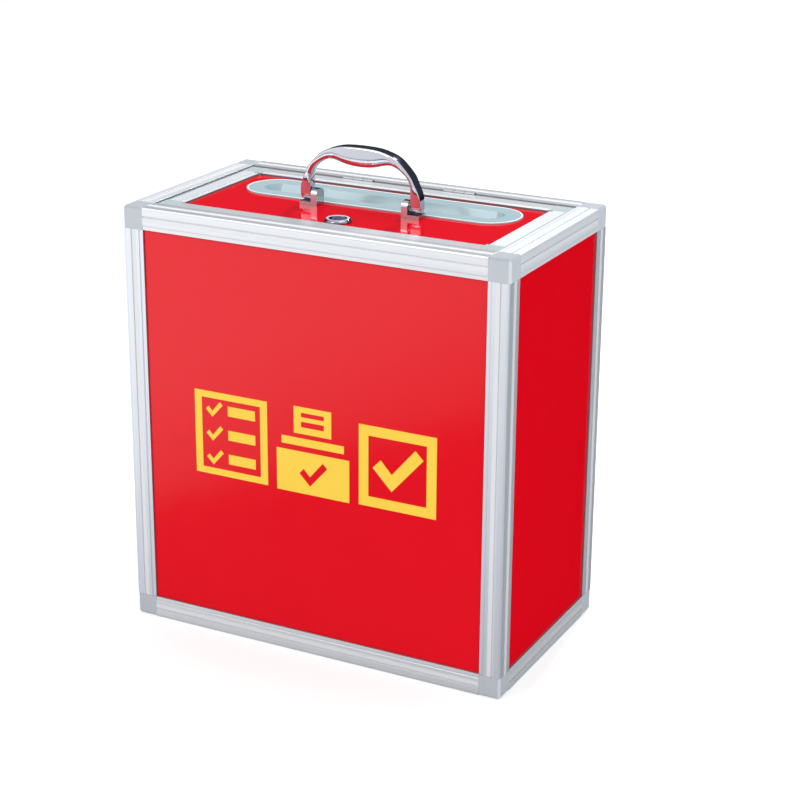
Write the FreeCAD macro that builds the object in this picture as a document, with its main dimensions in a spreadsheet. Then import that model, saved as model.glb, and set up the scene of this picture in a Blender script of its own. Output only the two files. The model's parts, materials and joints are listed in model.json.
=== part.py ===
import FreeCAD, Part
import math
import os
import Sketcher

# Every driving size in millimetres: alias, value, meaning.
SIZES = [
    ("box_width", 360, "case, left to right"),
    ("box_depth", 200, "case, front to back"),
    ("box_height", 380, "case, rest face to top face"),
    ("rail_size", 19.5, "face width of case rails and corner blocks"),
    ("tube_size", 12, "square tube part of a case rail"),
    ("rail_wall", 1.8, "wall of the case rails"),
    ("corner_round", 1.2, "round on the case's outer edges"),
    ("block_bevel", 1.8, "bevel on the corner blocks' outer edges"),
    ("lip_thickness", 2, "outer lip in front of a panel"),
    ("lip_band", 4, "width of the lip's lower band"),
    ("lip_step", 0.5, "drop of that band below the rail's face"),
    ("shadow_start", 7.4, "case edge to the shadow groove"),
    ("shadow_width", 1.2, "shadow groove, across"),
    ("shadow_depth", 0.9, "shadow groove, deep"),
    ("flange_thickness", 1.5, "flange behind a panel"),
    ("panel_thickness", 3, "all panels"),
    ("panel_play", 0.2, "panel groove wider than its panel"),
    ("panel_end_gap", 0.5, "panel edge to the bottom of its groove"),
    ("spigot_length", 22, "corner spigot inside a rail"),
    ("spigot_play", 0.1, "spigot to tube wall, each side"),
    ("spigot_lead", 1.2, "chamfer at a spigot's end"),
    ("inner_wall", 2.2, "inner wall of a top rail"),
    ("ledge_reach", 6.5, "lid ledge, inwards from the top rail"),
    ("ledge_thickness", 1.8, "lid ledge"),
    ("ledge_gap", 0.3, "gap between two ledges at a mitre"),
    ("lid_gap", 0.7, "gap round the lid"),
    ("lid_drop", 1.2, "lid top below the case top"),
    ("lid_seat_gap", 0.3, "lid rail above the ledge"),
    ("lid_rail_width", 17, "lid rail, seen from above"),
    ("lid_rail_height", 14, "lid rail, top to bottom"),
    ("lid_tube", 11, "tube part of a lid rail, across"),
    ("lid_wall", 1.8, "wall of the lid rails"),
    ("lid_lip", 2.5, "lid top down to the lid panel"),
    ("lid_lip_band", 4, "lower band along the lid rail's inner edge"),
    ("lid_lip_step", 0.8, "drop of that band"),
    ("lid_edge_round", 1, "round on the lid rail's lower outer edge"),
    ("lid_corner_size", 18, "lid corner piece, square"),
    ("lid_corner_round", 1.5, "round on its outer corner"),
    ("hinge_spread", 50, "middle of the box to a hinge's middle"),
    ("hinge_width", 30, "hinge, along its pin"),
    ("hinge_lift", 0.2, "hinge axis above the lid top"),
    ("knuckle_radius", 2, "hinge knuckle"),
    ("knuckle_length", 9.6, "middle knuckle"),
    ("knuckle_end_gap", 0.3, "gap between knuckles"),
    ("knuckle_play", 0.3, "rail notch round a knuckle"),
    ("hinge_pin_radius", 1, "hinge pin"),
    ("hinge_running", 0.05, "radial running clearance on the hinge pin"),
    ("leaf_thickness", 1, "hinge leaf"),
    ("leaf_drop", 12.5, "hinge axis to a leaf's lower edge"),
    ("rebate_play", 0.2, "rebate round a hinge leaf"),
    ("bezel_length", 262, "slot bezel, over its round ends"),
    ("bezel_width", 56.5, "slot bezel, front to back"),
    ("bezel_margin", 5.8, "rear lid rail to slot bezel"),
    ("bezel_height", 1.1, "bezel flange above the lid panel"),
    ("mouth_length", 231, "funnel mouth"),
    ("mouth_width", 26, "funnel mouth, front to back"),
    ("throat_length", 221, "slot at the funnel's foot"),
    ("throat_width", 11, "slot, front to back"),
    ("funnel_depth", 13, "funnel below the lid panel's top"),
    ("funnel_wall", 1.5, "funnel wall"),
    ("funnel_play", 0.5, "panel cut-out round the funnel"),
    ("clip_spread", 70, "middle of the slot to a snap clip's middle"),
    ("clip_length", 14, "snap clip, along the slot"),
    ("clip_reach", 1.6, "snap clip, out from the funnel"),
    ("clip_height", 3.6, "snap clip, top to bottom"),
    ("clip_edge", 0.4, "snap clip, height of its outer edge"),
    ("clip_gap", 0.1, "panel's underside to a snap clip"),
    ("screw_play", 0.05, "bore round a screw shank or the lock's thread, radial"),
    ("lock_margin", 2.3, "front lid rail to lock head"),
    ("lock_head_radius", 11.5, "lock head"),
    ("lock_head_height", 3.2, "lock head above the panel"),
    ("lock_head_bevel", 1.4, "bevel round the lock head"),
    ("lock_barrel_radius", 9, "lock barrel"),
    ("lock_flat", 7.8, "barrel axis to its flats"),
    ("lock_barrel_length", 14, "barrel below the panel's top"),
    ("lock_hole_play", 0.15, "panel hole round the barrel"),
    ("lock_shoulder_radius", 7.4, "cylinder's upper disc"),
    ("lock_shoulder", 2, "cylinder's upper disc"),
    ("lock_shoulder_floor", 0.6, "disc's seat below the panel's top"),
    ("lock_shaft_radius", 5.5, "cylinder shaft"),
    ("lock_running", 0.05, "running clearance round the cylinder"),
    ("keyway_length", 8, "keyway"),
    ("keyway_width", 1.4, "keyway"),
    ("keyway_depth", 6, "keyway"),
    ("nut_flats", 22, "lock nut across flats"),
    ("nut_height", 4.5, "lock nut"),
    ("tang_size", 7.6, "square tang of the cylinder"),
    ("tang_play", 0.1, "cam hole round the tang"),
    ("cam_gap", 0.3, "barrel end to the cam"),
    ("cam_thickness", 2, "cam"),
    ("cam_length", 29, "lock axis to the cam's tip"),
    ("cam_width", 14, "cam"),
    ("cam_tail", 8, "lock axis to the cam's other end"),
    ("cam_bevel", 3, "bevel on the cam's corners"),
    ("cam_screw_radius", 2.1, "cam screw shank"),
    ("cam_screw_length", 8, "cam screw under its head"),
    ("cam_screw_flats", 8, "cam screw head across flats"),
    ("cam_screw_head_height", 2.2, "cam screw head"),
    ("cam_screw_spare", 0.8, "bore beyond the cam screw's end"),
    ("bracket_gap", 1, "slot bezel to handle brackets"),
    ("handle_depth", 13, "handle and brackets, front to back"),
    ("pivot_height", 10.4, "handle pivot above the lid panel"),
    ("bracket_inner", 40.3, "middle of the box to a bracket"),
    ("bracket_length", 16.8, "bracket foot, left to right"),
    ("bracket_foot", 3.4, "bracket foot, high"),
    ("ear_thickness", 5.9, "bracket ear"),
    ("ear_height", 14.5, "bracket ear, high"),
    ("ear_round", 5, "round on the ear's upper corners"),
    ("pivot_pin_radius", 2, "handle pivot pin"),
    ("pivot_pin_length", 14, "handle pivot pin"),
    ("pivot_running", 0.05, "running clearance on the pivot pin"),
    ("pin_end_gap", 0.5, "bore beyond the pivot pin's end"),
    ("side_gap", 0.3, "ear to the handle's boss"),
    ("leg_boss", 1.1, "handle's boss at the pivot, high"),
    ("leg_boss_radius", 4.5, "handle's boss at the pivot"),
    ("leg_thickness", 9.8, "handle leg"),
    ("bend_height", 5.6, "pivot up to the leg's first bend"),
    ("shoulder_inset", 8, "leg's outer face in to the shoulder"),
    ("shoulder_height", 23.6, "pivot up to the shoulder"),
    ("knee_inset", 19.4, "leg's outer face in to the knee"),
    ("knee_height", 36.6, "pivot up to the knee"),
    ("slope_inset", 35.4, "leg's outer face in to the slope's top"),
    ("slope_height", 43.3, "pivot up to the slope's top"),
    ("crown_half", 9, "half of the flat crown"),
    ("crown_height", 44.8, "pivot up to the crown"),
    ("inner_bend_inset", 0.3, "leg's inner face in to the inner bend"),
    ("inner_bend_height", 15.1, "pivot up to the inner bend"),
    ("inner_knee_inset", 6.1, "leg's inner face in to the inner knee"),
    ("inner_knee_height", 26.6, "pivot up to the inner knee"),
    ("hollow_inset", 19.1, "leg's inner face in to the finger hollow"),
    ("hollow_height", 31.8, "pivot up to the finger hollow"),
    ("swell_height", 27.7, "pivot up to the palm swell"),
    ("outer_bend_round", 14, "rounds along the handle's outside"),
    ("inner_bend_round", 7, "round at the handle's inner bend"),
    ("swell_round", 12, "rounds either side of the palm swell"),
    ("grip_bevel", 2.4, "bevel under the grip"),
    ("handle_bevel", 1.4, "bevel on the handle's outer edges"),
    ("handle_screw_radius", 2, "handle screw shank"),
    ("handle_screw_grip", 2.4, "handle screw inside the bracket foot"),
    ("handle_screw_spare", 0.4, "bore beyond the handle screw's end"),
    ("handle_screw_flats", 7, "handle screw head across flats"),
    ("handle_screw_head_height", 2.8, "handle screw head"),
    ("handle_hole_play", 0.2, "panel hole round a handle screw"),
    ("screw_reach", 8.4, "bracket's inner face to its screw"),
]
NUMBER = {name: float(number) for name, number, meaning in SIZES}

# Sums of sizes that several sub-parts share.
BOX_LEFT = "- box_width/2"
BOX_FRONT = "- box_depth/2"
LID_LEFT = "- box_width/2 + rail_size + lid_gap"
LID_FRONT = "- box_depth/2 + rail_size + lid_gap"
LID_TOP = "box_height - lid_drop"
LID_INSIDE = "box_depth/2 - rail_size - lid_gap - lid_rail_width"
BEZEL_MIDDLE = LID_INSIDE + " - bezel_margin - bezel_width/2"
HANDLE_MIDDLE = BEZEL_MIDDLE + " - bezel_width/2 - bracket_gap - handle_depth/2"
LOCK_MIDDLE = LID_FRONT + " + lid_rail_width + lock_margin + lock_head_radius"
PANEL_TOP = "box_height - lid_drop - lid_lip"
PANEL_UNDER = "box_height - lid_drop - lid_lip - panel_thickness"
HINGE_HEIGHT = "box_height - lid_drop + hinge_lift"
HINGE_BACK = "box_depth/2 - rail_size - lid_gap/2"
EAR_OUT = "bracket_inner + ear_thickness"
BOSS_FACE = EAR_OUT + " + side_gap"
LEG_IN = BOSS_FACE + " + leg_boss"
LEG_OUT = LEG_IN + " + leg_thickness"

doc = FreeCAD.newDocument("BallotBox")
sheet = doc.addObject("Spreadsheet::Sheet", "Sizes")
for row, (name, number, meaning) in enumerate(SIZES, 1):
    sheet.set("A%d" % row, name)
    sheet.set("B%d" % row, str(number))
    sheet.set("C%d" % row, meaning)
    sheet.setAlias("B%d" % row, name)
doc.recompute()

# Solid of each sub-part by its label, in the order of building.
nodes = {}

X_AXIS = FreeCAD.Vector(1, 0, 0)
Z_AXIS = FreeCAD.Vector(0, 0, 1)

# Turns in degrees: one side of the box to the next, end for end, and the
# turn about a cube's diagonal that swaps the axes in a ring.
QUARTER_TURN = 90
HALF_TURN = 180
AXIS_SWAP = -120

# Two coordinates closer than this, in millimetres, are the same.
SAME = 0.0001

# Across flats to the distance from the middle to a corner of a hexagon.
ROOT_THREE = math.sqrt(3)


# A sum such as "box_width/2 - rail_size" as a number.
def number(text):
    total = 0.0
    sign = 1
    for word in text.split():
        if word in ("+", "-"):
            sign = 1 if word == "+" else -1
            continue
        name, slash, divisor = word.partition("/")
        amount = NUMBER[name] if name in NUMBER else float(name)
        total += sign * amount / float(divisor or 1)
        sign = 1
    return total


# The same sum as an expression on the sheet.
def formula(text):
    words = ["Sizes." + word if word[0].isalpha() else word for word in text.split()]
    return " ".join(words)


# The opposite of a sum.
def minus(text):
    words = text.split()
    if words[0] not in ("+", "-"):
        words = ["+"] + words
    swap = {"+": "-", "-": "+"}
    words = [swap.get(word, word) for word in words]
    if words[0] == "+":
        words = words[1:]
    return " ".join(words)


def rotation(turn, first=None):
    about_z = FreeCAD.Rotation(Z_AXIS, turn)
    return about_z.multiply(first) if first else about_z


def new_body(label, spin=None):
    body = doc.addObject("PartDesign::Body", label)
    body.Label = label
    body.AllowCompound = True
    if spin:
        body.Placement = FreeCAD.Placement(FreeCAD.Vector(), spin)
    nodes[label] = body
    return body


def place(body, x, y, z):
    for axis, text in zip("xyz", (x, y, z)):
        if text != "0":
            body.setExpression("Placement.Base." + axis, formula(text))


# A sketch on an origin plane, moved by "at" along the plane's positive axis.
def new_sketch(body, role, at="0"):
    plane = next(item for item in body.Origin.OriginFeatures if item.Role == role)
    sketch = body.newObject("Sketcher::SketchObject", "Sketch")
    sketch.AttachmentSupport = [(plane, "")]
    sketch.MapMode = "FlatFace"
    if at != "0":
        along = minus(at) if role == "XZ_Plane" else at
        sketch.setExpression("AttachmentOffset.Base.z", formula(along))
    return sketch


def bind(sketch, kind, parts, text):
    index = sketch.addConstraint(Sketcher.Constraint(kind, *parts, number(text)))
    sketch.setExpression("Constraints[%d]" % index, formula(text))


# Tie a point of the sketch to its coordinates.
def pin_point(sketch, geometry, end, x, y):
    for kind, axis, text in (("DistanceX", -2, x), ("DistanceY", -1, y)):
        if text == "0":
            sketch.addConstraint(Sketcher.Constraint("PointOnObject", geometry, end, axis))
        else:
            bind(sketch, kind, (-1, 1, geometry, end), text)


def add_polygon(sketch, points):
    first = sketch.GeometryCount
    spots = [FreeCAD.Vector(number(x), number(y), 0) for x, y in points]
    for start, end in zip(spots, spots[1:] + spots[:1]):
        sketch.addGeometry(Part.LineSegment(start, end), False)
    for step, (x, y) in enumerate(points):
        after = first + (step + 1) % len(points)
        sketch.addConstraint(Sketcher.Constraint("Coincident", first + step, 2, after, 1))
        pin_point(sketch, first + step, 1, x, y)


def add_box(sketch, left, right, low, high):
    add_polygon(sketch, [(left, low), (right, low), (right, high), (left, high)])


def add_circle(sketch, x, y, radius):
    centre = FreeCAD.Vector(number(x), number(y), 0)
    index = sketch.addGeometry(Part.Circle(centre, Z_AXIS, number(radius)), False)
    bind(sketch, "Radius", (index,), radius)
    pin_point(sketch, index, 3, x, y)


# A hexagon by its size across flats, two of its corners on the local X axis.
def add_hexagon(sketch, x, y, flats):
    flat, near, far = flats + "/2", "%s/%s" % (flats, 2 * ROOT_THREE), "%s/%s" % (flats, ROOT_THREE)
    steps = [(far, "0"), (near, flat), (minus(near), flat), (minus(far), "0"),
             (minus(near), minus(flat)), (near, minus(flat))]
    add_polygon(sketch, [(x + " + " + across, y + " + " + up) for across, up in steps])


# Two half circles joined by straight sides, lying along X.
def add_stadium(sketch, y, half_length, half_width):
    reach = half_length + " " + minus(half_width)
    radius = number(half_width)
    first = sketch.GeometryCount
    right = FreeCAD.Vector(number(reach), number(y), 0)
    left = FreeCAD.Vector(-number(reach), number(y), 0)
    up = FreeCAD.Vector(0, radius, 0)
    quarter = math.pi / 2
    right_arc = Part.ArcOfCircle(Part.Circle(right, Z_AXIS, radius), -quarter, quarter)
    left_arc = Part.ArcOfCircle(Part.Circle(left, Z_AXIS, radius), quarter, 3 * quarter)
    sketch.addGeometry(right_arc, False)
    sketch.addGeometry(Part.LineSegment(right + up, left + up), False)
    sketch.addGeometry(left_arc, False)
    sketch.addGeometry(Part.LineSegment(left - up, right - up), False)
    for step in range(4):
        after = first + (step + 1) % 4
        sketch.addConstraint(Sketcher.Constraint("Tangent", first + step, 2, after, 1))
    sketch.addConstraint(Sketcher.Constraint("Equal", first, first + 2))
    bind(sketch, "Radius", (first,), half_width)
    pin_point(sketch, first, 3, reach, y)
    bind(sketch, "DistanceX", (-1, 1, first + 2, 3), minus(reach))


# A circle with two flats that face left and right.
def add_flatted_circle(sketch, y, radius, flat):
    size = number(radius)
    half = number(flat)
    rise = math.sqrt(size * size - half * half)
    middle = FreeCAD.Vector(0, number(y), 0)
    first = sketch.GeometryCount
    signs = ((1, 1), (-1, 1), (-1, -1), (1, -1))
    corners = [FreeCAD.Vector(a * half, b * rise, 0) + middle for a, b in signs]
    top = middle + FreeCAD.Vector(0, size, 0)
    low = middle - FreeCAD.Vector(0, size, 0)
    sketch.addGeometry(Part.Arc(corners[0], top, corners[1]), False)
    sketch.addGeometry(Part.LineSegment(corners[1], corners[2]), False)
    sketch.addGeometry(Part.Arc(corners[2], low, corners[3]), False)
    sketch.addGeometry(Part.LineSegment(corners[3], corners[0]), False)
    for step in range(4):
        after = first + (step + 1) % 4
        sketch.addConstraint(Sketcher.Constraint("Coincident", first + step, 2, after, 1))
    for arc in (first, first + 2):
        pin_point(sketch, arc, 3, "0", y)
    bind(sketch, "Radius", (first,), radius)
    sketch.addConstraint(Sketcher.Constraint("Equal", first, first + 2))
    for side in (first + 1, first + 3):
        sketch.addConstraint(Sketcher.Constraint("Vertical", side))
    bind(sketch, "DistanceX", (-1, 1, first + 3, 1), flat)
    bind(sketch, "DistanceX", (-1, 1, first + 1, 1), minus(flat))


def set_length(feature, sketch, length, reverse, both):
    feature.Profile = sketch
    feature.setExpression("Length", formula(length))
    feature.Reversed = reverse
    feature.Midplane = both
    doc.recompute()
    return feature


# Add material towards the plane's positive axis, or backwards, or to both sides.
def pad(body, sketch, length, backwards=False, both=False):
    flipped = sketch.AttachmentSupport[0][0].Role == "XZ_Plane"
    feature = body.newObject("PartDesign::Pad", "Pad")
    return set_length(feature, sketch, length, flipped != backwards, both)


# Cut towards the plane's positive axis, or backwards, or to both sides.
def cut(body, sketch, length, backwards=False, both=False):
    flipped = sketch.AttachmentSupport[0][0].Role == "XZ_Plane"
    feature = body.newObject("PartDesign::Pocket", "Pocket")
    return set_length(feature, sketch, length, flipped == backwards, both)


# Round or chamfer the edges of the body's last feature that pass the test.
def dress(body, kind, size, test):
    base = body.Tip
    names = ["Edge%d" % (step + 1) for step, edge in enumerate(base.Shape.Edges) if test(edge)]
    feature = body.newObject("PartDesign::" + kind, kind)
    feature.Base = (base, names)
    feature.setExpression("Radius" if kind == "Fillet" else "Size", formula(size))
    doc.recompute()
    return feature


# A test for edges whose two ends share the given local coordinates.
def ends_at(x=None, y=None, z=None):
    def test(edge):
        for vertex in edge.Vertexes:
            spot = vertex.Point
            for wanted, got in ((x, spot.x), (y, spot.y), (z, spot.z)):
                if wanted is not None and abs(wanted - got) > SAME:
                    return False
        return len(edge.Vertexes) == 2
    return test


# Corner block of the case: its outer corner is the local origin.
def corner_block(label, turn, spin, x, y, z):
    body = new_body(label, rotation(turn, spin))
    for role in ("XY_Plane", "YZ_Plane", "XZ_Plane"):
        arm = new_sketch(body, role)
        add_box(arm, "0", "tube_size", "0", "tube_size")
        pad(body, arm, "rail_size")
        plate = new_sketch(body, role)
        add_box(plate, "0", "rail_size", "0", "rail_size")
        pad(body, plate, "lip_thickness")
    for role in ("XY_Plane", "YZ_Plane", "XZ_Plane"):
        low = "rail_wall + spigot_play"
        high = "tube_size - rail_wall - spigot_play"
        spigot = new_sketch(body, role, "rail_size")
        add_box(spigot, low, high, low, high)
        pad(body, spigot, "spigot_length")
    end = number("rail_size + spigot_length")
    tips = [ends_at(x=end), ends_at(y=end), ends_at(z=end)]
    dress(body, "Chamfer", "spigot_lead", lambda edge: any(tip(edge) for tip in tips))
    edges = [ends_at(x=0, y=0), ends_at(y=0, z=0), ends_at(x=0, z=0)]
    dress(body, "Chamfer", "block_bevel", lambda edge: any(outer(edge) for outer in edges))
    place(body, x, y, z)


# Outer faces of a case profile, one along each local axis, with groove and lip.
def side_points(low):
    start, end = "shadow_start", "shadow_start + shadow_width"
    band = "rail_size - lip_band"
    points = [("0", start), ("shadow_depth", start), ("shadow_depth", end), ("0", end)]
    points += [("0", band), ("lip_step", band), ("lip_step", "rail_size")]
    points += [("lip_thickness", "rail_size"), ("lip_thickness", "tube_size")]
    behind = "lip_thickness + panel_thickness + panel_play"
    points += [(behind, "tube_size"), (behind, "rail_size")]
    behind += " + flange_thickness"
    points += [(behind, "rail_size"), (behind, "tube_size")]
    return [(x, minus(y) if low else y) for x, y in points]


# Post or bottom rail: both outer faces look alike and both carry a panel.
def frame_rail(label, turn, spin, length, x, y, z):
    body = new_body(label, rotation(turn, spin))
    profile = new_sketch(body, "YZ_Plane")
    side = side_points(False)
    other = [(b, a) for a, b in reversed(side)]
    add_polygon(profile, [("0", "0")] + side + [("tube_size", "tube_size")] + other)
    inside = "tube_size - rail_wall"
    add_box(profile, "rail_wall", inside, "rail_wall", inside)
    pad(body, profile, length)
    dress(body, "Fillet", "corner_round", ends_at(y=0, z=0))
    place(body, x, y, z)


# Top rail: flat top face, one panel groove facing down and a ledge for the lid.
def top_rail(label, turn, length, x, y):
    body = new_body(label, rotation(turn))
    profile = new_sketch(body, "YZ_Plane")
    inner = "rail_size - inner_wall"
    reach = "rail_size + ledge_reach"
    shelf = "- lid_drop - lid_rail_height - lid_seat_gap"
    under = shelf + " - ledge_thickness"
    floor = "- tube_size"
    start, end = "shadow_start", "shadow_start + shadow_width"
    points = [("0", "0")] + side_points(True)
    points += [(inner, floor), (inner, under), (reach, under), (reach, shelf)]
    points += [("rail_size", shelf), ("rail_size", "0"), (end, "0"), (end, "- shadow_depth")]
    points += [(start, "- shadow_depth"), (start, "0")]
    add_polygon(profile, points)
    roof, base = "- rail_wall", "- tube_size + rail_wall"
    add_box(profile, "rail_wall", "tube_size - rail_wall", base, roof)
    add_box(profile, "tube_size", inner, base, roof)
    pad(body, profile, length)
    dress(body, "Fillet", "corner_round", ends_at(y=0, z=0))
    mitres = new_sketch(body, "XY_Plane")
    far = length + " - ledge_gap"
    add_polygon(mitres, [("0", "rail_size"), ("ledge_gap", "rail_size"),
                         ("ledge_gap + ledge_reach", reach), ("0", reach)])
    add_polygon(mitres, [(length, "rail_size"), (far, "rail_size"),
                         (far + " - ledge_reach", reach), (length, reach)])
    cut(body, mitres, "rail_size + rail_size + rail_size", both=True)
    place(body, x, y, "box_height")
    return body


# Rebates and knuckle notches for both hinges in a rail. The hinge axis lies
# beyond the rail's face, on the side where local y falls if "low_side" is set.
def hinge_seats(body, middle, face, low_side, axis_y, axis_z):
    width = "hinge_width + rebate_play + rebate_play"
    foot = axis_z + " - leaf_drop - rebate_play"
    deep = face + (" + leaf_thickness" if low_side else " - leaf_thickness")
    proud = face + (" - lid_gap" if low_side else " + lid_gap")
    near, far = (proud, deep) if low_side else (deep, proud)
    for side in (" - hinge_spread", " + hinge_spread"):
        rebate = new_sketch(body, "YZ_Plane", middle + side)
        add_box(rebate, near, far, foot, axis_z)
        cut(body, rebate, width, both=True)
        notch = new_sketch(body, "YZ_Plane", middle + side)
        add_circle(notch, axis_y, axis_z, "knuckle_radius + knuckle_play")
        cut(body, notch, width, both=True)


# Flat panel on an origin plane of its body.
def plain_panel(label, role, left, right, low, high, x, y, z):
    body = new_body(label)
    sheet_outline = new_sketch(body, role)
    add_box(sheet_outline, left, right, low, high)
    pad(body, sheet_outline, "panel_thickness")
    place(body, x, y, z)


# Lid rail: its local origin is the rail's outer top edge.
def lid_rail(label, turn, length, x, y):
    body = new_body(label, rotation(turn))
    profile = new_sketch(body, "YZ_Plane")
    band = "lid_rail_width - lid_lip_band"
    groove = "- lid_lip - panel_thickness - panel_play"
    flange = groove + " - flange_thickness"
    points = [("0", "0"), (band, "0"), (band, "- lid_lip_step"), ("lid_rail_width", "- lid_lip_step")]
    points += [("lid_rail_width", "- lid_lip"), ("lid_tube", "- lid_lip"), ("lid_tube", groove)]
    points += [("lid_rail_width", groove), ("lid_rail_width", flange), ("lid_tube", flange)]
    points += [("lid_tube", "- lid_rail_height"), ("0", "- lid_rail_height")]
    add_polygon(profile, points)
    add_box(profile, "lid_wall", "lid_tube - lid_wall", "- lid_rail_height + lid_wall", "- lid_wall")
    pad(body, profile, length)
    dress(body, "Fillet", "lid_edge_round", ends_at(y=0, z=-number("lid_rail_height")))
    place(body, x, y, LID_TOP)
    return body


# Lid corner piece: its local origin is the outer top corner.
def lid_corner(label, turn, x, y):
    body = new_body(label, rotation(turn))
    arms = new_sketch(body, "XY_Plane")
    size, tube = "lid_corner_size", "lid_tube"
    add_polygon(arms, [("0", "0"), (size, "0"), (size, tube), (tube, tube), (tube, size), ("0", size)])
    pad(body, arms, "lid_rail_height", backwards=True)
    plate = new_sketch(body, "XY_Plane")
    add_box(plate, "0", size, "0", size)
    pad(body, plate, "lid_lip", backwards=True)
    near, far = "lid_wall + spigot_play", "lid_tube - lid_wall - spigot_play"
    roof, base = "- lid_wall - spigot_play", "- lid_rail_height + lid_wall + spigot_play"
    for role in ("YZ_Plane", "XZ_Plane"):
        spigot = new_sketch(body, role, size)
        add_box(spigot, near, far, base, roof)
        pad(body, spigot, "spigot_length")
    end = number("lid_corner_size + spigot_length")
    tips = [ends_at(x=end), ends_at(y=end)]
    dress(body, "Chamfer", "spigot_lead", lambda edge: any(tip(edge) for tip in tips))
    dress(body, "Fillet", "lid_corner_round", ends_at(x=0, y=0))
    place(body, x, y, LID_TOP)


# Centres of the two handle screws, one under each bracket.
def handle_screw_spots():
    reach = "bracket_inner + screw_reach"
    return [(minus(reach), HANDLE_MIDDLE), (reach, HANDLE_MIDDLE)]


# Lid panel with the slot's cut-out, the lock's hole and all screw holes.
def lid_panel():
    body = new_body("lid_panel")
    plan = new_sketch(body, "XY_Plane")
    left = LID_LEFT + " + lid_tube + panel_end_gap"
    front = LID_FRONT + " + lid_tube + panel_end_gap"
    add_box(plan, left, minus(left), front, minus(front))
    wider = " + funnel_wall + funnel_play"
    add_stadium(plan, BEZEL_MIDDLE, "mouth_length/2" + wider, "mouth_width/2" + wider)
    for x, y in handle_screw_spots():
        add_circle(plan, x, y, "handle_screw_radius + handle_hole_play")
    play = " + lock_hole_play"
    add_flatted_circle(plan, LOCK_MIDDLE, "lock_barrel_radius" + play, "lock_flat" + play)
    pad(body, plan, "panel_thickness", backwards=True)
    place(body, "0", "0", PANEL_TOP)


def loft(body, kind, sketches):
    feature = body.newObject("PartDesign::" + kind, kind)
    feature.Profile = sketches[0]
    feature.Sections = sketches[1:]
    feature.Ruled = True
    doc.recompute()
    return feature


# Slot bezel: stadium flange, tapered funnel and four snap clips under the panel.
def slot_bezel():
    body = new_body("slot_bezel")
    flange = new_sketch(body, "XY_Plane")
    add_stadium(flange, BEZEL_MIDDLE, "bezel_length/2", "bezel_width/2")
    pad(body, flange, "bezel_height")
    mouth = new_sketch(body, "XY_Plane")
    add_stadium(mouth, BEZEL_MIDDLE, "mouth_length/2 + funnel_wall", "mouth_width/2 + funnel_wall")
    foot = new_sketch(body, "XY_Plane", "- funnel_depth")
    add_stadium(foot, BEZEL_MIDDLE, "throat_length/2 + funnel_wall", "throat_width/2 + funnel_wall")
    loft(body, "AdditiveLoft", [mouth, foot])
    snap_clips(body)
    mouth = new_sketch(body, "XY_Plane", "bezel_height")
    add_stadium(mouth, BEZEL_MIDDLE, "mouth_length/2", "mouth_width/2")
    foot = new_sketch(body, "XY_Plane", "- funnel_depth")
    add_stadium(foot, BEZEL_MIDDLE, "throat_length/2", "throat_width/2")
    loft(body, "SubtractiveLoft", [mouth, foot])
    place(body, "0", "0", PANEL_TOP)


# Snap clips: wedges that stand out from the funnel just below the panel.
def snap_clips(body):
    top = "- panel_thickness - clip_gap"
    wall, tip = "throat_width/2", "mouth_width/2 + funnel_wall + funnel_play + clip_reach"
    points = [(wall, top), (tip, top), (tip, top + " - clip_edge"), (wall, top + " - clip_height")]
    for middle in ("- clip_spread", "clip_spread"):
        wedge = new_sketch(body, "YZ_Plane", middle)
        add_polygon(wedge, [(BEZEL_MIDDLE + " + " + y, z) for y, z in points])
        add_polygon(wedge, [(BEZEL_MIDDLE + " " + minus(y), z) for y, z in points])
        pad(body, wedge, "clip_length", both=True)


# Turned pieces alike in one node: steps are a radius or a size across flats,
# a start and a length along the axis.
def round_group(label, role, spots, steps, y="0", z="0"):
    body = new_body(label)
    for size, start, length in steps:
        plan = new_sketch(body, role, start)
        draw = add_hexagon if size.endswith("flats") else add_circle
        for a, b in spots:
            draw(plan, a, b, size)
        pad(body, plan, length)
    place(body, "0", y, z)


# Lock body: round head, flatted barrel, stepped bore for the cylinder.
def lock_body():
    body = new_body("lock_body")
    head = new_sketch(body, "XY_Plane")
    add_circle(head, "0", "0", "lock_head_radius")
    pad(body, head, "lock_head_height")
    dress(body, "Chamfer", "lock_head_bevel", top_circle("lock_head_height"))
    barrel = new_sketch(body, "XY_Plane")
    add_flatted_circle(barrel, "0", "lock_barrel_radius", "lock_flat")
    pad(body, barrel, "lock_barrel_length", backwards=True)
    recess = new_sketch(body, "XY_Plane", "- lock_shoulder_floor")
    add_circle(recess, "0", "0", "lock_shoulder_radius + lock_running")
    cut(body, recess, "lock_shoulder_floor + lock_head_height")
    bore = new_sketch(body, "XY_Plane")
    add_circle(bore, "0", "0", "lock_shaft_radius + lock_running")
    cut(body, bore, "lock_barrel_length", backwards=True)
    place(body, "0", LOCK_MIDDLE, PANEL_TOP)


# A test for whole circles at a local height.
def top_circle(height):
    level = number(height)

    def test(edge):
        box = edge.BoundBox
        return abs(box.ZMin - level) < SAME and abs(box.ZMax - level) < SAME
    return test


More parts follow.
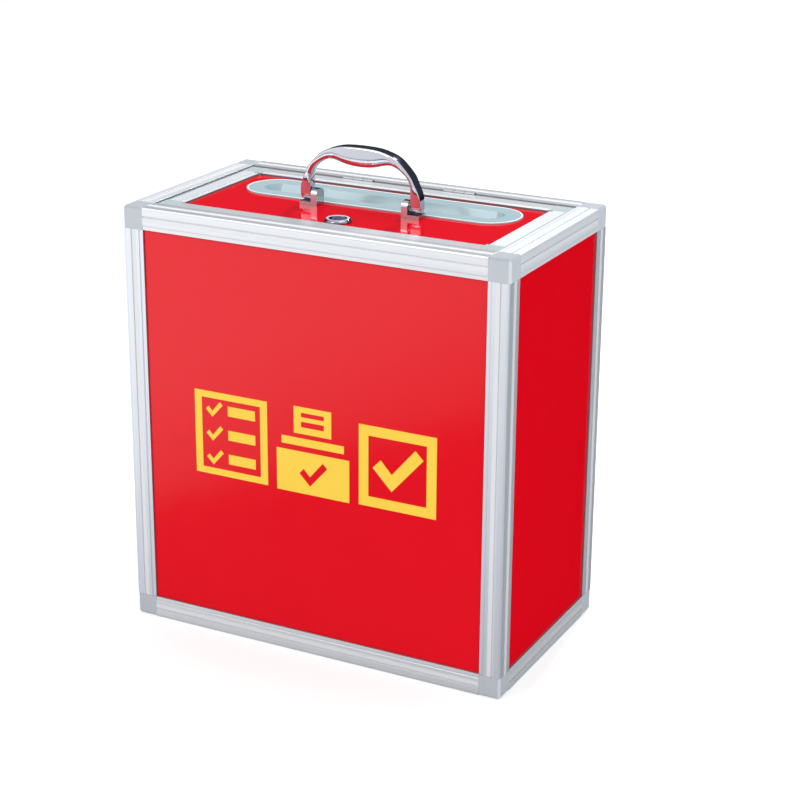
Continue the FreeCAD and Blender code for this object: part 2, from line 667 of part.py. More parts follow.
# Lock cylinder: upper disc with keyway, shaft, square tang and a bore for the cam screw.
def lock_cylinder():
    body = new_body("lock_cylinder")
    shaft = new_sketch(body, "XY_Plane", "- lock_shoulder_floor")
    add_circle(shaft, "0", "0", "lock_shaft_radius")
    pad(body, shaft, "lock_barrel_length - lock_shoulder_floor", backwards=True)
    disc = new_sketch(body, "XY_Plane", "- lock_shoulder_floor")
    add_circle(disc, "0", "0", "lock_shoulder_radius")
    pad(body, disc, "lock_shoulder")
    tang = new_sketch(body, "XY_Plane", "- lock_barrel_length")
    add_box(tang, "- tang_size/2", "tang_size/2", "- tang_size/2", "tang_size/2")
    pad(body, tang, "cam_gap + cam_thickness", backwards=True)
    keyway = new_sketch(body, "XY_Plane", "lock_shoulder - lock_shoulder_floor")
    add_box(keyway, "- keyway_length/2", "keyway_length/2", "- keyway_width/2", "keyway_width/2")
    cut(body, keyway, "keyway_depth", backwards=True)
    bore = new_sketch(body, "XY_Plane", "- lock_barrel_length - cam_gap - cam_thickness")
    add_circle(bore, "0", "0", "cam_screw_radius + screw_play")
    cut(body, bore, "cam_screw_length + cam_screw_spare")
    place(body, "0", LOCK_MIDDLE, PANEL_TOP)


# Hexagonal lock nut.
def lock_nut():
    body = new_body("lock_nut")
    plan = new_sketch(body, "XY_Plane")
    add_hexagon(plan, "0", "0", "nut_flats")
    add_circle(plan, "0", "0", "lock_barrel_radius + screw_play")
    pad(body, plan, "nut_height", backwards=True)
    place(body, "0", LOCK_MIDDLE, PANEL_UNDER)


# Cam on the cylinder's tang, pointing right while the lid is free.
def lock_cam():
    body = new_body("lock_cam")
    plan = new_sketch(body, "XY_Plane")
    add_box(plan, "- cam_tail", "cam_length", "- cam_width/2", "cam_width/2")
    hole = "tang_size/2 + tang_play"
    add_box(plan, minus(hole), hole, minus(hole), hole)
    pad(body, plan, "cam_thickness", backwards=True)
    tip, tail = ends_at(x=number("cam_length")), ends_at(x=-number("cam_tail"))
    dress(body, "Chamfer", "cam_bevel", lambda edge: upright(edge) and (tip(edge) or tail(edge)))
    place(body, "0", LOCK_MIDDLE, PANEL_TOP + " - lock_barrel_length - cam_gap")


def upright(edge):
    box = edge.BoundBox
    return box.XLength < SAME and box.YLength < SAME


# Handle bracket: a foot on the panel with one upright ear, pivot bore through the ear.
def handle_bracket(label, turn):
    body = new_body(label, rotation(turn))
    foot = new_sketch(body, "XY_Plane")
    add_box(foot, "bracket_inner", "bracket_inner + bracket_length", "- handle_depth/2", "handle_depth/2")
    pad(body, foot, "bracket_foot")
    ear = new_sketch(body, "XY_Plane")
    add_box(ear, "bracket_inner", EAR_OUT, "- handle_depth/2", "handle_depth/2")
    pad(body, ear, "ear_height")
    half = number("handle_depth/2")
    top = number("ear_height")
    corners = [ends_at(y=half, z=top), ends_at(y=-half, z=top)]
    dress(body, "Fillet", "ear_round", lambda edge: any(corner(edge) for corner in corners))
    bore = new_sketch(body, "YZ_Plane", "bracket_inner")
    add_circle(bore, "0", "pivot_height", "pivot_pin_radius")
    cut(body, bore, "ear_thickness")
    hole = new_sketch(body, "XY_Plane")
    add_circle(hole, "bracket_inner + screw_reach", "0", "handle_screw_radius + screw_play")
    cut(body, hole, "handle_screw_grip + handle_screw_spare")
    place(body, "0", HANDLE_MIDDLE, PANEL_TOP)


# Carrying handle: one bail, its pivot axis on the local X axis.
def handle_grip():
    body = new_body("handle_grip")
    shape = new_sketch(body, "XZ_Plane")
    foot = "- handle_depth/2"
    outside = [(LEG_OUT, foot), (LEG_OUT, "bend_height"),
               (LEG_OUT + " - shoulder_inset", "shoulder_height"),
               (LEG_OUT + " - knee_inset", "knee_height"),
               (LEG_OUT + " - slope_inset", "slope_height"), ("crown_half", "crown_height")]
    inside = [("crown_half", "swell_height"), (LEG_IN + " - hollow_inset", "hollow_height"),
              (LEG_IN + " - inner_knee_inset", "inner_knee_height"),
              (LEG_IN + " - inner_bend_inset", "inner_bend_height"), (LEG_IN, foot)]
    mirrored = [(minus(x), z) for x, z in reversed(outside)]
    mirrored_in = [(minus(x), z) for x, z in reversed(inside)]
    add_polygon(shape, outside + mirrored + mirrored_in + inside)
    pad(body, shape, "handle_depth", both=True)
    rounds = [("outer_bend_round", outside[1:]), ("inner_bend_round", inside[3:4]),
              ("swell_round", inside[:2])]
    for size, points in rounds:
        places = [(sign * number(x), number(z)) for x, z in points for sign in (1, -1)]
        corners = [ends_at(x=x, z=z) for x, z in places]
        dress(body, "Fillet", size, lambda edge, corners=corners: any(corner(edge) for corner in corners))
    round_feet(body)
    bosses(body)
    return body


# Full round on both feet, about the pivot axis.
def round_feet(body):
    waste = new_sketch(body, "YZ_Plane")
    radius = number("handle_depth/2")
    far = "handle_depth"
    first = waste.GeometryCount
    left, right = FreeCAD.Vector(-radius, 0, 0), FreeCAD.Vector(radius, 0, 0)
    spots = [right, FreeCAD.Vector(2 * radius, 0, 0), FreeCAD.Vector(2 * radius, -2 * radius, 0),
             FreeCAD.Vector(-2 * radius, -2 * radius, 0), FreeCAD.Vector(-2 * radius, 0, 0), left]
    for start, end in zip(spots, spots[1:]):
        waste.addGeometry(Part.LineSegment(start, end), False)
    waste.addGeometry(Part.Arc(left, FreeCAD.Vector(0, -radius, 0), right), False)
    for step in range(6):
        after = first + (step + 1) % 6
        waste.addConstraint(Sketcher.Constraint("Coincident", first + step, 2, after, 1))
    corners = [("handle_depth/2", "0"), (far, "0"), (far, minus(far)), (minus(far), minus(far)),
               (minus(far), "0")]
    for step, (x, y) in enumerate(corners):
        pin_point(waste, first + step, 1, x, y)
    waste.addConstraint(Sketcher.Constraint("PointOnObject", first + 5, 3, -1))
    waste.addConstraint(Sketcher.Constraint("PointOnObject", first + 5, 3, -2))
    cut(body, waste, "box_width", both=True)


# Boss and blind pivot bore on the inner face of each leg.
def bosses(body):
    for sign in (1, -1):
        face = BOSS_FACE if sign > 0 else minus(BOSS_FACE)
        boss = new_sketch(body, "YZ_Plane", face)
        add_circle(boss, "0", "0", "leg_boss_radius")
        pad(body, boss, "leg_boss", backwards=sign < 0)
        bore = new_sketch(body, "YZ_Plane", face)
        add_circle(bore, "0", "0", "pivot_pin_radius + pivot_running")
        depth = "pivot_pin_length - ear_thickness - side_gap + pin_end_gap"
        cut(body, bore, depth, backwards=sign < 0)


# Bevel the handle's long edges, more under the grip than outside.
def soften_grip(body):
    half = number("handle_depth/2")
    for size, height in (("grip_bevel", "swell_height"), ("handle_bevel", "crown_height")):
        sides = [ends_at(y=half, z=number(height)), ends_at(y=-half, z=number(height))]
        dress(body, "Chamfer", size, lambda edge: any(side(edge) for side in sides))
    place(body, "0", HANDLE_MIDDLE, PANEL_TOP + " + pivot_height")


# Hinge leaf with its knuckles on the local X axis, plate towards local -Z.
def hinge_leaf(label, case_side):
    body = new_body(label)
    near = "lid_gap/2"
    far = "lid_gap/2 + leaf_thickness"
    if not case_side:
        near, far = minus(far), minus(near)
    clear = "- knuckle_radius - knuckle_play - knuckle_play"
    reach = "knuckle_length/2 + knuckle_end_gap"
    outer_length = "hinge_width/2 - knuckle_length/2 - knuckle_end_gap"
    for middle in ("- hinge_spread", "hinge_spread"):
        plate = new_sketch(body, "YZ_Plane", middle)
        add_box(plate, near, far, "- leaf_drop", clear)
        pad(body, plate, "hinge_width", both=True)
        if case_side:
            starts = [(middle + " + " + reach, outer_length), (middle + " - hinge_width/2", outer_length)]
        else:
            starts = [(middle + " - knuckle_length/2", "knuckle_length")]
        for start, length in starts:
            neck = new_sketch(body, "YZ_Plane", start)
            add_box(neck, near, far, "- leaf_drop", "0")
            pad(body, neck, length)
            knuckle = new_sketch(body, "YZ_Plane", start)
            add_circle(knuckle, "0", "0", "knuckle_radius")
            pad(body, knuckle, length)
        eye = new_sketch(body, "YZ_Plane", middle)
        add_circle(eye, "0", "0", "hinge_pin_radius" + ("" if case_side else " + hinge_running"))
        cut(body, eye, "hinge_width + knuckle_radius", both=True)
    place(body, "0", HINGE_BACK, HINGE_HEIGHT)


CORNERS = [("front_left", BOX_LEFT, BOX_FRONT), ("front_right", minus(BOX_LEFT), BOX_FRONT),
           ("rear_right", minus(BOX_LEFT), minus(BOX_FRONT)), ("rear_left", BOX_LEFT, minus(BOX_FRONT))]


# Case corners, lower four and upper four.
def build_corners():
    over = FreeCAD.Rotation(X_AXIS, HALF_TURN)
    for step, (name, x, y) in enumerate(CORNERS):
        corner_block("corner_bottom_" + name, QUARTER_TURN * step, None, x, y, "0")
    for step in range(4):
        name, x, y = CORNERS[(step + 3) % 4]
        corner_block("corner_top_" + name, QUARTER_TURN * step, over, x, y, "box_height")


# Where each side's rail starts, after the corner, going round from the front.
def side_starts(left, front, corner):
    right, rear = minus(left), minus(front)
    return [("front", left + " + " + corner, front), ("right", right, front + " + " + corner),
            ("rear", right + " - " + corner, rear), ("left", left, rear + " - " + corner)]


def build_case_rails():
    upright_turn = FreeCAD.Rotation(FreeCAD.Vector(1, 1, 1), AXIS_SWAP)
    tall = "box_height - rail_size - rail_size"
    for step, (name, x, y) in enumerate(CORNERS):
        frame_rail("post_" + name, QUARTER_TURN * step, upright_turn, tall, x, y, "rail_size")
    wide = "box_width - rail_size - rail_size"
    deep = "box_depth - rail_size - rail_size"
    for step, (name, x, y) in enumerate(side_starts(BOX_LEFT, BOX_FRONT, "rail_size")):
        length = deep if step % 2 else wide
        frame_rail("rail_bottom_" + name, QUARTER_TURN * step, None, length, x, y, "0")
        rail = top_rail("rail_top_" + name, QUARTER_TURN * step, length, x, y)
        if name == "rear":
            middle = "box_width/2 - rail_size"
            hinge_seats(rail, middle, "rail_size", False, "rail_size + lid_gap/2", "- lid_drop + hinge_lift")


def build_panels():
    half_width = "box_width/2 - tube_size - panel_end_gap"
    half_depth = "box_depth/2 - tube_size - panel_end_gap"
    low = "tube_size + panel_end_gap"
    high = "box_height - tube_size - panel_end_gap"
    behind = " - lip_thickness - panel_thickness"
    wide = (minus(half_width), half_width)
    deep = (minus(half_depth), half_depth)
    plain_panel("panel_front", "XZ_Plane", *wide, low, high, "0", BOX_FRONT + " + lip_thickness", "0")
    plain_panel("panel_rear", "XZ_Plane", *wide, low, high, "0", "box_depth/2" + behind, "0")
    plain_panel("panel_left", "YZ_Plane", *deep, low, high, BOX_LEFT + " + lip_thickness", "0", "0")
    plain_panel("panel_right", "YZ_Plane", *deep, low, high, "box_width/2" + behind, "0", "0")
    plain_panel("panel_bottom", "XY_Plane", *wide, *deep, "0", "0", "lip_thickness")


def build_lid():
    right, rear = minus(LID_LEFT), minus(LID_FRONT)
    corners = [("front_left", LID_LEFT, LID_FRONT), ("front_right", right, LID_FRONT),
               ("rear_right", right, rear), ("rear_left", LID_LEFT, rear)]
    for step, (name, x, y) in enumerate(corners):
        lid_corner("lid_corner_" + name, QUARTER_TURN * step, x, y)
    lost = " - rail_size - rail_size - lid_gap - lid_gap - lid_corner_size - lid_corner_size"
    for step, (name, x, y) in enumerate(side_starts(LID_LEFT, LID_FRONT, "lid_corner_size")):
        length = ("box_depth" if step % 2 else "box_width") + lost
        rail = lid_rail("lid_rail_" + name, QUARTER_TURN * step, length, x, y)
        if name == "rear":
            middle = "box_width/2 - rail_size - lid_gap - lid_corner_size"
            hinge_seats(rail, middle, "0", True, "- lid_gap/2", "hinge_lift")
    lid_panel()
    slot_bezel()


def build_lock():
    lock_body()
    lock_cylinder()
    lock_nut()
    lock_cam()
    middle = [("0", "0")]
    steps = [("cam_screw_flats", "- cam_screw_head_height", "cam_screw_head_height"),
             ("cam_screw_radius", "0", "cam_screw_length")]
    round_group("cam_screw", "XY_Plane", middle, steps, y=LOCK_MIDDLE,
                z=PANEL_TOP + " - lock_barrel_length - cam_gap - cam_thickness")


def build_handle():
    handle_bracket("handle_bracket_right", 0)
    handle_bracket("handle_bracket_left", HALF_TURN)
    soften_grip(handle_grip())
    middle = [("0", "0")]
    steps = [("pivot_pin_radius", "bracket_inner", "pivot_pin_length"),
             ("pivot_pin_radius", "- bracket_inner - pivot_pin_length", "pivot_pin_length")]
    round_group("handle_pivot_pins", "YZ_Plane", middle, steps, y=HANDLE_MIDDLE,
                z=PANEL_TOP + " + pivot_height")
    spots = handle_screw_spots()
    steps = [("handle_screw_flats", "- handle_screw_head_height", "handle_screw_head_height"),
             ("handle_screw_radius", "0", "panel_thickness + handle_screw_grip")]
    round_group("handle_screws", "XY_Plane", spots, steps, z=PANEL_UNDER)


def build_hinges():
    hinge_leaf("hinge_leaves_case", True)
    hinge_leaf("hinge_leaves_lid", False)
    steps = [("hinge_pin_radius", "- hinge_spread - hinge_width/2", "hinge_width"),
             ("hinge_pin_radius", "hinge_spread - hinge_width/2", "hinge_width")]
    round_group("hinge_pins", "YZ_Plane", [("0", "0")], steps, y=HINGE_BACK, z=HINGE_HEIGHT)


build_corners()
build_case_rails()
build_panels()
build_lid()
build_lock()
build_handle()
build_hinges()
doc.recompute()

# Every feature must be sound before anything is written.
for item in doc.Objects:
    if {"Invalid", "Error"} & set(item.State):
        raise RuntimeError(item.Label + " did not recompute: " + item.getStatusString())
for label, body in nodes.items():
    if body.Shape.isNull() or not body.Shape.isValid():
        raise RuntimeError(label + " has no valid shape")

os.makedirs("parts", exist_ok=True)
for label, body in nodes.items():
    body.Shape.exportStep("parts/" + label + ".step")
    size = body.Shape.BoundBox
    limits = (size.XMin, size.XMax, size.YMin, size.YMax, size.ZMin, size.ZMax)
    print(label, len(body.Shape.Solids), round(body.Shape.Volume), [round(limit, 2) for limit in limits])
print(len(nodes), "nodes")
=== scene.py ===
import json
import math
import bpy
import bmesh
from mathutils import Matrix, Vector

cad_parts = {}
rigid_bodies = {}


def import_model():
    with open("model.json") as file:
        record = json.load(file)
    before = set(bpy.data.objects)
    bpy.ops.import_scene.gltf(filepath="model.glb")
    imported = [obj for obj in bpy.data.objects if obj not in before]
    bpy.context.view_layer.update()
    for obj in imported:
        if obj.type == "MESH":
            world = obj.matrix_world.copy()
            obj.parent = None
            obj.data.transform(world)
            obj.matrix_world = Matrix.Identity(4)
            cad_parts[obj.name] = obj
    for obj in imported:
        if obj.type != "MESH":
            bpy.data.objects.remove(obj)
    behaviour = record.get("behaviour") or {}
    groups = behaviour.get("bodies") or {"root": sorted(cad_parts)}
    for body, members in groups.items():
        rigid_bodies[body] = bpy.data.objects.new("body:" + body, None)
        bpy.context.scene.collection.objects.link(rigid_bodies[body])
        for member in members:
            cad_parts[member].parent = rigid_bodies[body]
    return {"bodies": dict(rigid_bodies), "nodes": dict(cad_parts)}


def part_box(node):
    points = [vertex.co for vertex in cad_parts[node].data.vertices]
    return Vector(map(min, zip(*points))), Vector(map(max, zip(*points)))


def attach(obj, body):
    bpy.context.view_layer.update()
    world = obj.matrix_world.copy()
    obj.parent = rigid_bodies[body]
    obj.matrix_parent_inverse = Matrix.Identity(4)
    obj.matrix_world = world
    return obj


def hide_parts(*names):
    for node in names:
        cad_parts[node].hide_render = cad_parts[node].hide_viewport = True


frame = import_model()

# %% [markdown]
# # A ballot box in aluminium and red sheet
# The box stands 38 cm high. Aluminium rails and grey plastic corner blocks hold
# five glossy red sheets, and a frame of its own holds the lid's sheet. The lid
# carries a long paper slot, a round lock and a folding handle in chrome. The
# exact bodies come from the CAD model, so this lesson is about finish: soft
# edges, materials, light, and the few pieces that are easier to shape as meshes.
# Lengths are in metres, unless a title says millimetres.

nodes = frame["nodes"]
ours = set(nodes.values()) | set(frame["bodies"].values())
for thing in list(bpy.data.objects):
    if thing not in ours:
        bpy.data.objects.remove(thing)
bpy.context.view_layer.update()

# %% [markdown]
# ## The camera
# The eye stands to the right of the box and looks down on it by about 20
# degrees. A long lens keeps the uprights nearly parallel. The place and the
# lens were found by matching the box's corners, whose real distances are known.

# %% Camera
eye = Vector((0.7738, -1.4513, 0.7953))
turn, drop, roll = math.radians(27.01), math.radians(19.78), math.radians(0.44)
backwards = Vector((math.sin(turn) * math.cos(drop), -math.cos(turn) * math.cos(drop), math.sin(drop)))
level = backwards.to_track_quat("Z", "Y").to_matrix()


def add_object(name, data):
    thing = bpy.data.objects.new(name, data)
    bpy.context.scene.collection.objects.link(thing)
    return thing


camera = add_object("camera", bpy.data.cameras.new("camera"))
camera.data.sensor_width = 36
camera.data.lens = 89.46
camera.location = eye
camera.rotation_euler = (level @ Matrix.Rotation(roll, 3, "Z")).to_euler()
bpy.context.scene.camera = camera

# %% [markdown]
# ## Building finishes from nodes
# Every finish is one Principled shader with a few texture nodes before it. All
# bodies share the frame's origin, so object coordinates are real metres, and a
# texture keeps its size from piece to piece. A number that is the same
# everywhere is typed on the shader itself. A few helpers keep the recipes
# short: one fills a node's sockets, whether with a number or with a link.

# %% A small workshop for node trees
def feed(node, sources):
    for socket, source in sources.items():
        if isinstance(source, (int, float, tuple)):
            node.inputs[socket].default_value = source
        else:
            node.id_data.links.new(source, node.inputs[socket])


def add_node(tree, kind, sources=None, **values):
    node = tree.nodes.new("ShaderNode" + kind)
    for key, value in values.items():
        setattr(node, key, value)
    feed(node, sources or {})
    return node


def new_finish(name, numbers):
    finish = bpy.data.materials.new(name)
    finish.use_nodes = True
    shader = finish.node_tree.nodes["Principled BSDF"]
    feed(shader, numbers)
    return finish, finish.node_tree, shader


def reopened(finish):
    shader = finish.node_tree.nodes["Principled BSDF"]
    return finish.node_tree, shader, shader.inputs["Base Color"].links[0].from_socket


# %% Arithmetic in a node tree
def math_node(tree, operation, first, second=0.0, clamp=False):
    return add_node(tree, "Math", {0: first, 1: second}, operation=operation, use_clamp=clamp).outputs[0]


def product(tree, first, *factors):
    for factor in factors:
        first = math_node(tree, "MULTIPLY", first, factor)
    return first


def between(tree, amount, low, high):
    sources = {"Value": amount, "To Min": low, "To Max": high}
    return add_node(tree, "MapRange", sources).outputs["Result"]


# %% Coordinates, noise, colours and relief
def axes_of(tree, kind="Object"):
    place = add_node(tree, "TexCoord").outputs[kind]
    return add_node(tree, "SeparateXYZ", {"Vector": place}).outputs


def noise(tree, scale, detail=3.0):
    stretch = scale if isinstance(scale, tuple) else (scale, scale, scale)
    place = add_node(tree, "TexCoord").outputs["Object"]
    spot = add_node(tree, "Mapping", {"Vector": place, "Scale": stretch}).outputs["Vector"]
    sources = {"Vector": spot, "Scale": 1.0, "Detail": detail, "Roughness": 0.55}
    return add_node(tree, "TexNoise", sources).outputs["Fac"]


def shade(tree, amount, dark, light):
    ramp = add_node(tree, "ValToRGB", {"Fac": amount})
    ramp.color_ramp.elements[0].color = (*dark, 1)
    ramp.color_ramp.elements[1].color = (*light, 1)
    return ramp.outputs["Color"]


def mixed(tree, amount, first, second, way="MIX"):
    sources = {"Factor": amount, "A": first, "B": second}
    return add_node(tree, "Mix", sources, data_type="RGBA", blend_type=way).outputs["Result"]


def tinted(tree, color, tint, amount=1.0):
    return mixed(tree, amount, color, tint, "MULTIPLY")


def relief(tree, shader, height, depth, strength):
    bump = add_node(tree, "Bump", {"Height": height, "Strength": strength, "Distance": depth})
    feed(shader, {"Normal": bump.outputs["Normal"]})


# %% [markdown]
# ## Where a point lies on the case
# A rail is drawn through a die, so its face has the same bands along its whole
# length. To paint bands, a finish must know how far a point lies in from the
# case's outer edge. The case is a plain box, so that distance follows from the
# coordinates: one distance for each direction across the rail, and the larger
# of the two counts. A colour ramp then holds the bands.

# %% Distance in from the case's edge, in millimetres, and a ramp over it
case_low, case_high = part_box("corner_bottom_front_left")[0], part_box("corner_top_rear_right")[1]
case_middle, case_half = (case_low + case_high) / 2, (case_high - case_low) / 2
band_reach = 40.0


def across_rail(tree, axis):
    axes, depths = axes_of(tree), []
    for other in range(3):
        if other != axis:
            offset = math_node(tree, "SUBTRACT", axes[other], case_middle[other])
            depths.append(math_node(tree, "SUBTRACT", case_half[other], math_node(tree, "ABSOLUTE", offset)))
    return product(tree, math_node(tree, "MAXIMUM", *depths), 1000.0)


def bands(tree, millimetres, stops):
    ramp = add_node(tree, "ValToRGB", {"Fac": math_node(tree, "DIVIDE", millimetres, band_reach)})
    steps = ramp.color_ramp.elements
    while len(steps) < len(stops):
        steps.new(1.0)
    for step, (place, tone) in zip(steps, stops):
        step.position = place / band_reach
        step.color = (tone, tone, tone, 1)
    return ramp.outputs["Color"]


print("case", [round(side * 2000) for side in case_half], "mm")

# %% [markdown]
# Faces that look up get painted tones of their own, painted light and shade,
# and the box is painted a little darker towards the floor, as painted shade.
# Two more helpers tell a finish how much a point looks up, and how near to the
# floor it is.

# %% Looking up, and near the floor
floor_share = 0.4


def facing_up(tree):
    return math_node(tree, "MAXIMUM", axes_of(tree, "Normal")["Z"], 0.0, clamp=True)


# painted shade: a factor that falls from 1 down to foot towards the floor
def painted_floor_shade(tree, foot):
    share = math_node(tree, "DIVIDE", axes_of(tree)["Z"], case_high.z * floor_share, clamp=True)
    return between(tree, share, foot, 1.0)


print("darker below", round(case_high.z * floor_share * 1000), "mm")

# %% [markdown]
# ## Brushed aluminium
# After the die, the rails are brushed along their length, so the scratches are
# long and thin. Noise that is squeezed across the rail and stretched along it
# gives that grain, and an anisotropic gloss smears every highlight at right
# angles to it. The middle band of each rail is brushed harder and looks paler
# and duller. The lips' narrow inner edges lie in shadow against the panels, and
# a painted dark line there, painted shade, keeps panel and rail apart. Painted
# shade lines also mark the fine grooves and the seam round the lid. One finish
# is made for each direction that a rail can run in. They differ a little in how
# metallic they are and in colour, a painted tint of the light on each. A face
# that looks up gets painted tones of its own, painted light and shade, and the
# rails are painted darker towards the floor, as painted shade.

# %% Tones across a rail, each at its distance from the case's edge in millimetres
lip_edge, lid_edge = 19.4, 20.2
brushed_tone = (0.73, 0.745, 0.77, 1)
brushed_band = [(6.6, 0.0), (7.4, 1.0), (12.0, 1.0), (12.8, 0.0)]
# painted shade: dark lines in the grooves, at the lips' edges and along the seam round the lid
painted_shade_lines = [(1.2, 1.0), (1.8, 0.86), (2.4, 1.0), (15.4, 1.0), (16.2, 0.80), (16.8, 1.0),
               (lip_edge, 1.0), (lip_edge + 0.05, 0.16), (lid_edge, 0.16), (20.3, 0.52),
               (22.2, 0.52), (22.5, 1.0), (32.6, 1.0), (33.1, 0.86), (33.6, 1.0), (36.9, 1.0), (37.0, 0.22)]
# painted light and shade on the rails' upward faces, as tones across the rail
front_top_shade = [(0.0, 0.80), (3.0, 0.77), (6.0, 0.86), (9.5, 1.0), (14.5, 0.90), (17.0, 0.84),
             (lip_edge, 0.88), (lid_edge, 1.0)]
side_top_shade = [(0.0, 0.86), (band_reach, 0.86)]
plain_top = [(0.0, 1.0), (band_reach, 1.0)]
# dark and light differ by direction, a painted tint of the light on each; foot is painted shade
rail_looks = [dict(metal=0.62, band_metal=0.20, dark=(0.80, 0.818, 0.848), light=(0.86, 0.876, 0.90),
                   top=front_top_shade, foot=0.88),
              dict(metal=0.34, band_metal=0.18, dark=(0.81, 0.85, 0.895), light=(0.865, 0.905, 0.945),
                   top=side_top_shade, foot=0.78),
              dict(metal=0.60, band_metal=0.20, dark=(0.785, 0.83, 0.89), light=(0.845, 0.885, 0.94),
                   top=plain_top, foot=0.92)]
print("stops across a rail", len(painted_shade_lines))

# %% One brushed finish for each direction
scratch_scale, streak_scale = dict(along=22.0, across=2600.0), dict(along=5.0, across=420.0)
band_haze = 0.14


def drawn_out(axis, along, across):
    return tuple(along if other == axis else across for other in range(3))


def aluminium(axis, metal, band_metal, dark, light, top, foot):
    finish, tree, shader = new_finish("aluminium_along_" + "xyz"[axis],
                                      {"Anisotropic": 0.65, "Anisotropic Rotation": 0.25})
    scratches = noise(tree, drawn_out(axis, **scratch_scale), 2.0)
    streaks = noise(tree, drawn_out(axis, **streak_scale))
    inwards = across_rail(tree, axis)
    brushed = bands(tree, inwards, brushed_band)
    tone = mixed(tree, brushed, shade(tree, streaks, dark, light), brushed_tone)
    # painted shade lines across the rail
    line_shaded = tinted(tree, tone, bands(tree, inwards, painted_shade_lines))
    # painted tones on faces that look up
    top_painted = tinted(tree, line_shaded, bands(tree, inwards, top), facing_up(tree))
    haze = math_node(tree, "ADD", between(tree, scratches, 0.26, 0.40), product(tree, brushed, band_haze))
    # painted shade towards the floor, down to foot
    feed(shader, {"Base Color": tinted(tree, top_painted, painted_floor_shade(tree, foot)),
                  "Metallic": between(tree, brushed, metal, band_metal),
                  "Roughness": haze,
                  "Tangent": add_node(tree, "CombineXYZ", {axis: 1.0}).outputs["Vector"]})
    relief(tree, shader, scratches, depth=0.00002, strength=0.3)
    return finish


aluminium_along = [aluminium(axis, **looks) for axis, looks in enumerate(rail_looks)]
print([finish.name for finish in aluminium_along])

# %% [markdown]
# ## Moulded plastic
# The corner blocks, the lid's corner pieces and the slot's bezel are moulded.
# Their skin is satin, with a very fine grain from the mould and slow changes of
# tone. One recipe serves for all greys. The case's blocks are painted darker on
# top and towards the floor, as painted shade, and their upright bevels are
# painted paler, as a painted highlight.

# %% Corner plastic and the cooler plastic of the lid
def moulded(name, dark, light, gloss, shine=0.5):
    finish, tree, shader = new_finish(name, {"Specular IOR Level": shine})
    grain = noise(tree, 3200.0, 2.0)
    feed(shader, {"Base Color": shade(tree, noise(tree, 38.0, 4.0), dark, light),
                  "Roughness": between(tree, grain, gloss - 0.06, gloss + 0.08)})
    relief(tree, shader, grain, depth=0.00003, strength=0.3)
    return finish


# painted shade on top and towards the floor, and a painted highlight on upright bevels
def paint_light_and_shade(finish, top, foot, edge):
    tree, shader, color = reopened(finish)
    slant = axes_of(tree, "Normal")
    square = math_node(tree, "ABSOLUTE", product(tree, slant["X"], slant["Y"]))
    bevel = math_node(tree, "MULTIPLY", square, 2.0, clamp=True)
    painted_light = product(tree, painted_floor_shade(tree, foot), between(tree, facing_up(tree), 1.0, top),
                   between(tree, bevel, 1.0, edge))
    feed(shader, {"Base Color": tinted(tree, color, painted_light)})


block_plastic = moulded("block_plastic", (0.45, 0.48, 0.52), (0.49, 0.52, 0.56), gloss=0.5, shine=0.15)
# painted shade on top and near the floor, painted highlight on the bevels
paint_light_and_shade(block_plastic, top=0.78, foot=0.84, edge=1.3)
lid_plastic = moulded("lid_corner_plastic", (0.36, 0.43, 0.44), (0.41, 0.48, 0.49), gloss=0.38)
bezel_plastic = moulded("bezel_plastic", (0.345, 0.465, 0.50), (0.395, 0.515, 0.55), gloss=0.16)
print("plastics", block_plastic.name, lid_plastic.name, bezel_plastic.name)

# %% [markdown]
# ## Glossy red sheet
# Each panel is a composite sheet with a baked red coat, as glossy as a car
# door. A very slow wave in the surface bends the reflections a little, as thin
# sheet does. The coat covers the outer face only, and the face towards the
# inside of the box has a pale primer. Which face is which follows from where it
# lies, so one finish serves all panels.

# %% Red coat outside, primer inside
coat_reach, coat_depth = 0.0022, 0.0002
panel_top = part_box("lid_panel")[1].z


def coated_side(tree):
    axes = axes_of(tree)
    across = math_node(tree, "GREATER_THAN", math_node(tree, "ABSOLUTE", axes["X"]), case_half.x - coat_reach)
    along = math_node(tree, "GREATER_THAN", math_node(tree, "ABSOLUTE", axes["Y"]), case_half.y - coat_reach)
    above = math_node(tree, "GREATER_THAN", axes["Z"], panel_top - coat_depth)
    below = math_node(tree, "LESS_THAN", axes["Z"], case_low.z + coat_reach)
    return math_node(tree, "MAXIMUM", math_node(tree, "MAXIMUM", across, along),
                     math_node(tree, "MAXIMUM", above, below))


def red_sheet():
    finish, tree, shader = new_finish("red_sheet", {"IOR": 1.45})
    outside = coated_side(tree)
    coat = shade(tree, noise(tree, 9.0, 2.0), (0.66, 0.0006, 0.0070), (0.69, 0.0012, 0.0088))
    primer = shade(tree, noise(tree, 900.0, 2.0), (0.50, 0.50, 0.49), (0.60, 0.60, 0.59))
    gloss = between(tree, noise(tree, 55.0, 4.0), 0.045, 0.10)
    feed(shader, {"Base Color": mixed(tree, outside, primer, coat),
                  "Roughness": between(tree, outside, 0.48, gloss)})
    relief(tree, shader, noise(tree, 14.0, 1.0), depth=0.0004, strength=0.12)
    return finish


red_coat = red_sheet()
print("panels in", red_coat.name, "with a top at", round(panel_top * 1000, 2), "mm")

# %% [markdown]
# ## Chrome and plated steel
# Chrome is a mirror. It looks rich only because it reflects dark and light
# things side by side, so most of its look comes from the studio. A trace of
# haze and fine polishing marks keep it from looking like glass. The lock's nut,
# the cam and the screws are plain plated steel, duller and warmer, and the
# hinges are a darker steel.

# %% Chrome and steel
mark_stretch, tarnish = 0.3, 0.93


def polished(name, color, low, high, scale, depth):
    finish, tree, shader = new_finish(name, {"Metallic": 1.0})
    marks = noise(tree, (scale, scale, scale * mark_stretch))
    darker = tuple(part * tarnish for part in color)
    feed(shader, {"Base Color": shade(tree, noise(tree, 70.0, 2.0), darker, color),
                  "Roughness": between(tree, marks, low, high)})
    relief(tree, shader, marks, depth=depth, strength=0.2)
    return finish


